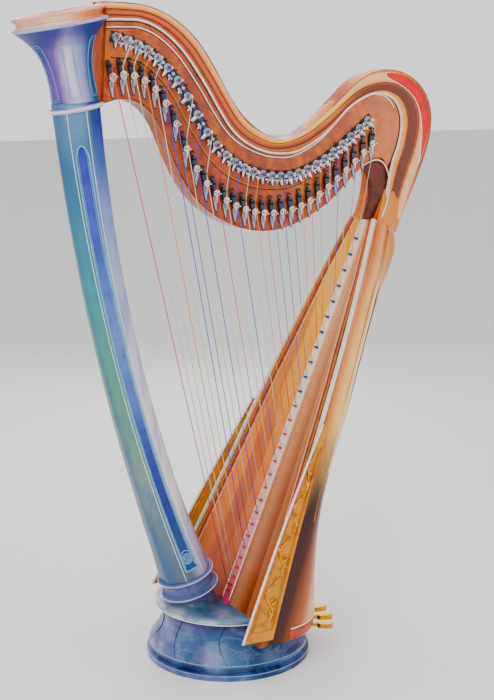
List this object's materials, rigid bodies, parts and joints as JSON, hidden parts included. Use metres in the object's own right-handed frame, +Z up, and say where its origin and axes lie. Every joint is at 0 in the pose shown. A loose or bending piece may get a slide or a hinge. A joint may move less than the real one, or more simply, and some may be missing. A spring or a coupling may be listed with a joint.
{
  "type": "concert harp",
  "caption": "Concert harp with a round base, bowed column, curved neck of fork discs and tuning pins, pedals, strings and a rounded soundbox.",
  "frame": {"origin": "centre of the round base's underside, on the floor", "axes": "+Z up; +X from the column towards the player; -Y is the side of the neck that carries the strings"},
  "size_m": [1.2493, 0.5436, 1.7816],
  "materials": {
    "navy_lacquer": "satin",
    "pale_lacquer": "satin",
    "cast_iron": "matte",
    "blue_lacquer": "satin",
    "violet_lacquer": "satin",
    "maple": "gloss",
    "rosewood_face": "gloss",
    "black_steel": "satin",
    "nickel": "polished",
    "silver_fork": "polished",
    "spruce": "satin",
    "ivory_rib": "satin",
    "peg_red": "gloss",
    "aluminium": "satin",
    "cream_bead": "satin",
    "gilt_carving": "satin",
    "string_gut": "satin",
    "brass_rod": "satin",
    "pedal_brass": "polished"
  },
  "bodies": {
    "root": {"base_shell": "navy_lacquer", "base_plate": "pale_lacquer", "pedal_frame": "cast_iron", "column": "blue_lacquer", "column_socket": "navy_lacquer", "capital": "violet_lacquer", "neck": "maple", "action_plate": "rosewood_face", "nut_blocks": "black_steel", "tuning_pins": "nickel", "soundboard": "spruce", "string_rib": "ivory_rib", "string_pegs": "peg_red", "soundbox_shell": "maple", "soundbox_hoops": "aluminium", "edge_mouldings": "cream_bead", "carved_plaques": "gilt_carving", "strings": "string_gut"},
    "pedal_d": {"pedal_d": "pedal_brass"},
    "rod_d": {"pedal_rod_d": "brass_rod"},
    "pedal_c": {"pedal_c": "pedal_brass"},
    "rod_c": {"pedal_rod_c": "brass_rod"},
    "pedal_b": {"pedal_b": "pedal_brass"},
    "rod_b": {"pedal_rod_b": "brass_rod"},
    "pedal_e": {"pedal_e": "pedal_brass"},
    "rod_e": {"pedal_rod_e": "brass_rod"},
    "pedal_f": {"pedal_f": "pedal_brass"},
    "rod_f": {"pedal_rod_f": "brass_rod"},
    "pedal_g": {"pedal_g": "pedal_brass"},
    "rod_g": {"pedal_rod_g": "brass_rod"},
    "pedal_a": {"pedal_a": "pedal_brass"},
    "rod_a": {"pedal_rod_a": "brass_rod"},
    "fork_01": {"fork_disc_01": "silver_fork"},
    "fork_02": {"fork_disc_02": "silver_fork"},
    "fork_03": {"fork_disc_03": "silver_fork"},
    "fork_04": {"fork_disc_04": "silver_fork"},
    "fork_05": {"fork_disc_05": "silver_fork"},
    "fork_06": {"fork_disc_06": "silver_fork"},
    "fork_07": {"fork_disc_07": "silver_fork"},
    "fork_08": {"fork_disc_08": "silver_fork"},
    "fork_09": {"fork_disc_09": "silver_fork"},
    "fork_10": {"fork_disc_10": "silver_fork"},
    "fork_11": {"fork_disc_11": "silver_fork"},
    "fork_12": {"fork_disc_12": "silver_fork"},
    "fork_13": {"fork_disc_13": "silver_fork"},
    "fork_14": {"fork_disc_14": "silver_fork"},
    "fork_15": {"fork_disc_15": "silver_fork"},
    "fork_16": {"fork_disc_16": "silver_fork"},
    "fork_17": {"fork_disc_17": "silver_fork"},
    "fork_18": {"fork_disc_18": "silver_fork"},
    "fork_19": {"fork_disc_19": "silver_fork"},
    "fork_20": {"fork_disc_20": "silver_fork"},
    "fork_21": {"fork_disc_21": "silver_fork"},
    "fork_22": {"fork_disc_22": "silver_fork"},
    "fork_23": {"fork_disc_23": "silver_fork"},
    "fork_24": {"fork_disc_24": "silver_fork"},
    "fork_25": {"fork_disc_25": "silver_fork"},
    "fork_26": {"fork_disc_26": "silver_fork"},
    "fork_27": {"fork_disc_27": "silver_fork"},
    "fork_28": {"fork_disc_28": "silver_fork"}
  },
  "joints": [
    {"name": "pedal_d_press", "type": "hinge", "parent": "root", "child": "pedal_d", "pos_m": [0.07383, -0.05978, 0.085], "axis": [0.6293, 0.7771, 0], "range_deg": [0, 8.5]},
    {"name": "rod_d_slide", "type": "slide", "parent": "root", "child": "rod_d", "axis": [-0.2249, 0, 0.9744], "range_m": [0, 0.0098]},
    {"name": "pedal_c_press", "type": "hinge", "parent": "root", "child": "pedal_c", "pos_m": [0.08539, -0.04165, 0.085], "axis": [0.4384, 0.8988, 0], "range_deg": [0, 8.5]},
    {"name": "rod_c_slide", "type": "slide", "parent": "root", "child": "rod_c", "axis": [-0.2249, 0, 0.9744], "range_m": [0, 0.0098]},
    {"name": "pedal_b_press", "type": "hinge", "parent": "root", "child": "pedal_b", "pos_m": [0.09256, -0.02137, 0.085], "axis": [0.225, 0.9744, 0], "range_deg": [0, 8.5]},
    {"name": "rod_b_slide", "type": "slide", "parent": "root", "child": "rod_b", "axis": [-0.2249, 0, 0.9744], "range_m": [0, 0.0098]},
    {"name": "pedal_e_press", "type": "hinge", "parent": "root", "child": "pedal_e", "pos_m": [0.09448, 0.00993, 0.085], "axis": [-0.1045, 0.9945, 0], "range_deg": [0, 8.5]},
    {"name": "rod_e_slide", "type": "slide", "parent": "root", "child": "rod_e", "axis": [-0.2249, 0, 0.9744], "range_m": [0, 0.0098]},
    {"name": "pedal_f_press", "type": "hinge", "parent": "root", "child": "pedal_f", "pos_m": [0.08982, 0.03093, 0.085], "axis": [-0.3256, 0.9455, 0], "range_deg": [0, 8.5]},
    {"name": "rod_f_slide", "type": "slide", "parent": "root", "child": "rod_f", "axis": [-0.2249, 0, 0.9744], "range_m": [0, 0.0098]},
    {"name": "pedal_g_press", "type": "hinge", "parent": "root", "child": "pedal_g", "pos_m": [0.08056, 0.05034, 0.085], "axis": [-0.5299, 0.848, 0], "range_deg": [0, 8.5]},
    {"name": "rod_g_slide", "type": "slide", "parent": "root", "child": "rod_g", "axis": [-0.2249, 0, 0.9744], "range_m": [0, 0.0098]},
    {"name": "pedal_a_press", "type": "hinge", "parent": "root", "child": "pedal_a", "pos_m": [0.06717, 0.06717, 0.085], "axis": [-0.7071, 0.7071, 0], "range_deg": [0, 8.5]},
    {"name": "rod_a_slide", "type": "slide", "parent": "root", "child": "rod_a", "axis": [-0.2249, 0, 0.9744], "range_m": [0, 0.0098]},
    {"name": "fork_01_turn", "type": "hinge", "parent": "root", "child": "fork_01", "pos_m": [-0.353, -0.0475, 1.60029], "axis": [0, 1, 0], "range_deg": [0, 40.1]},
    {"name": "fork_02_turn", "type": "hinge", "parent": "root", "child": "fork_02", "pos_m": [-0.3236, -0.0475, 1.6053], "axis": [0, 1, 0], "range_deg": [0, 40.1]},
    {"name": "fork_03_turn", "type": "hinge", "parent": "root", "child": "fork_03", "pos_m": [-0.2942, -0.0475, 1.60161], "axis": [0, 1, 0], "range_deg": [0, 40.1]},
    {"name": "fork_04_turn", "type": "hinge", "parent": "root", "child": "fork_04", "pos_m": [-0.2648, -0.0475, 1.58963], "axis": [0, 1, 0], "range_deg": [0, 40.1]},
    {"name": "fork_05_turn", "type": "hinge", "parent": "root", "child": "fork_05", "pos_m": [-0.2354, -0.0475, 1.56845], "axis": [0, 1, 0], "range_deg": [0, 40.1]},
    {"name": "fork_06_turn", "type": "hinge", "parent": "root", "child": "fork_06", "pos_m": [-0.206, -0.0475, 1.5339], "axis": [0, 1, 0], "range_deg": [0, 40.1]},
    {"name": "fork_07_turn", "type": "hinge", "parent": "root", "child": "fork_07", "pos_m": [-0.1766, -0.0475, 1.48106], "axis": [0, 1, 0], "range_deg": [0, 40.1]},
    {"name": "fork_08_turn", "type": "hinge", "parent": "root", "child": "fork_08", "pos_m": [-0.1472, -0.0475, 1.41747], "axis": [0, 1, 0], "range_deg": [0, 40.1]},
    {"name": "fork_09_turn", "type": "hinge", "parent": "root", "child": "fork_09", "pos_m": [-0.1178, -0.0475, 1.3646], "axis": [0, 1, 0], "range_deg": [0, 40.1]},
    {"name": "fork_10_turn", "type": "hinge", "parent": "root", "child": "fork_10", "pos_m": [-0.0884, -0.0475, 1.32663], "axis": [0, 1, 0], "range_deg": [0, 40.1]},
    {"name": "fork_11_turn", "type": "hinge", "parent": "root", "child": "fork_11", "pos_m": [-0.059, -0.0475, 1.2997], "axis": [0, 1, 0], "range_deg": [0, 40.1]},
    {"name": "fork_12_turn", "type": "hinge", "parent": "root", "child": "fork_12", "pos_m": [-0.0296, -0.0475, 1.27976], "axis": [0, 1, 0], "range_deg": [0, 40.1]},
    {"name": "fork_13_turn", "type": "hinge", "parent": "root", "child": "fork_13", "pos_m": [-0.0002, -0.0475, 1.26467], "axis": [0, 1, 0], "range_deg": [0, 40.1]},
    {"name": "fork_14_turn", "type": "hinge", "parent": "root", "child": "fork_14", "pos_m": [0.0292, -0.0475, 1.25347], "axis": [0, 1, 0], "range_deg": [0, 40.1]},
    {"name": "fork_15_turn", "type": "hinge", "parent": "root", "child": "fork_15", "pos_m": [0.0586, -0.0475, 1.24566], "axis": [0, 1, 0], "range_deg": [0, 40.1]},
    {"name": "fork_16_turn", "type": "hinge", "parent": "root", "child": "fork_16", "pos_m": [0.088, -0.0475, 1.24096], "axis": [0, 1, 0], "range_deg": [0, 40.1]},
    {"name": "fork_17_turn", "type": "hinge", "parent": "root", "child": "fork_17", "pos_m": [0.1174, -0.0475, 1.23938], "axis": [0, 1, 0], "range_deg": [0, 40.1]},
    {"name": "fork_18_turn", "type": "hinge", "parent": "root", "child": "fork_18", "pos_m": [0.1468, -0.0475, 1.24109], "axis": [0, 1, 0], "range_deg": [0, 40.1]},
    {"name": "fork_19_turn", "type": "hinge", "parent": "root", "child": "fork_19", "pos_m": [0.1762, -0.0475, 1.24633], "axis": [0, 1, 0], "range_deg": [-40.1, 0]},
    {"name": "fork_20_turn", "type": "hinge", "parent": "root", "child": "fork_20", "pos_m": [0.2056, -0.0475, 1.25518], "axis": [0, 1, 0], "range_deg": [-40.1, 0]},
    {"name": "fork_21_turn", "type": "hinge", "parent": "root", "child": "fork_21", "pos_m": [0.235, -0.0475, 1.26781], "axis": [0, 1, 0], "range_deg": [-40.1, 0]},
    {"name": "fork_22_turn", "type": "hinge", "parent": "root", "child": "fork_22", "pos_m": [0.2644, -0.0475, 1.28397], "axis": [0, 1, 0], "range_deg": [-40.1, 0]},
    {"name": "fork_23_turn", "type": "hinge", "parent": "root", "child": "fork_23", "pos_m": [0.2938, -0.0475, 1.30291], "axis": [0, 1, 0], "range_deg": [-40.1, 0]},
    {"name": "fork_24_turn", "type": "hinge", "parent": "root", "child": "fork_24", "pos_m": [0.3232, -0.0475, 1.32381], "axis": [0, 1, 0], "range_deg": [-40.1, 0]},
    {"name": "fork_25_turn", "type": "hinge", "parent": "root", "child": "fork_25", "pos_m": [0.3526, -0.0475, 1.34622], "axis": [0, 1, 0], "range_deg": [-40.1, 0]},
    {"name": "fork_26_turn", "type": "hinge", "parent": "root", "child": "fork_26", "pos_m": [0.382, -0.0475, 1.36961], "axis": [0, 1, 0], "range_deg": [-40.1, 0]},
    {"name": "fork_27_turn", "type": "hinge", "parent": "root", "child": "fork_27", "pos_m": [0.4114, -0.0475, 1.39325], "axis": [0, 1, 0], "range_deg": [-40.1, 0]},
    {"name": "fork_28_turn", "type": "hinge", "parent": "root", "child": "fork_28", "pos_m": [0.4408, -0.0475, 1.41626], "axis": [0, 1, 0], "range_deg": [-40.1, 0]}
  ],
  "couplings": [
    {"joint": "rod_d_slide", "follows": "pedal_d_press", "m_per_rad": 0.065},
    {"joint": "rod_c_slide", "follows": "pedal_c_press", "m_per_rad": 0.065},
    {"joint": "rod_b_slide", "follows": "pedal_b_press", "m_per_rad": 0.065},
    {"joint": "rod_e_slide", "follows": "pedal_e_press", "m_per_rad": 0.065},
    {"joint": "rod_f_slide", "follows": "pedal_f_press", "m_per_rad": 0.065},
    {"joint": "rod_g_slide", "follows": "pedal_g_press", "m_per_rad": 0.065},
    {"joint": "rod_a_slide", "follows": "pedal_a_press", "m_per_rad": 0.065},
    {"joint": "fork_01_turn", "follows": "pedal_c_press", "ratio": 4.7059},
    {"joint": "fork_02_turn", "follows": "pedal_d_press", "ratio": 4.7059},
    {"joint": "fork_03_turn", "follows": "pedal_e_press", "ratio": 4.7059},
    {"joint": "fork_04_turn", "follows": "pedal_f_press", "ratio": 4.7059},
    {"joint": "fork_05_turn", "follows": "pedal_g_press", "ratio": 4.7059},
    {"joint": "fork_06_turn", "follows": "pedal_a_press", "ratio": 4.7059},
    {"joint": "fork_07_turn", "follows": "pedal_b_press", "ratio": 4.7059},
    {"joint": "fork_08_turn", "follows": "pedal_c_press", "ratio": 4.7059},
    {"joint": "fork_09_turn", "follows": "pedal_d_press", "ratio": 4.7059},
    {"joint": "fork_10_turn", "follows": "pedal_e_press", "ratio": 4.7059},
    {"joint": "fork_11_turn", "follows": "pedal_f_press", "ratio": 4.7059},
    {"joint": "fork_12_turn", "follows": "pedal_g_press", "ratio": 4.7059},
    {"joint": "fork_13_turn", "follows": "pedal_a_press", "ratio": 4.7059},
    {"joint": "fork_14_turn", "follows": "pedal_b_press", "ratio": 4.7059},
    {"joint": "fork_15_turn", "follows": "pedal_c_press", "ratio": 4.7059},
    {"joint": "fork_16_turn", "follows": "pedal_d_press", "ratio": 4.7059},
    {"joint": "fork_17_turn", "follows": "pedal_e_press", "ratio": 4.7059},
    {"joint": "fork_18_turn", "follows": "pedal_f_press", "ratio": 4.7059},
    {"joint": "fork_19_turn", "follows": "pedal_g_press", "ratio": -4.7059},
    {"joint": "fork_20_turn", "follows": "pedal_a_press", "ratio": -4.7059},
    {"joint": "fork_21_turn", "follows": "pedal_b_press", "ratio": -4.7059},
    {"joint": "fork_22_turn", "follows": "pedal_c_press", "ratio": -4.7059},
    {"joint": "fork_23_turn", "follows": "pedal_d_press", "ratio": -4.7059},
    {"joint": "fork_24_turn", "follows": "pedal_e_press", "ratio": -4.7059},
    {"joint": "fork_25_turn", "follows": "pedal_f_press", "ratio": -4.7059},
    {"joint": "fork_26_turn", "follows": "pedal_g_press", "ratio": -4.7059},
    {"joint": "fork_27_turn", "follows": "pedal_a_press", "ratio": -4.7059},
    {"joint": "fork_28_turn", "follows": "pedal_b_press", "ratio": -4.7059}
  ]
}
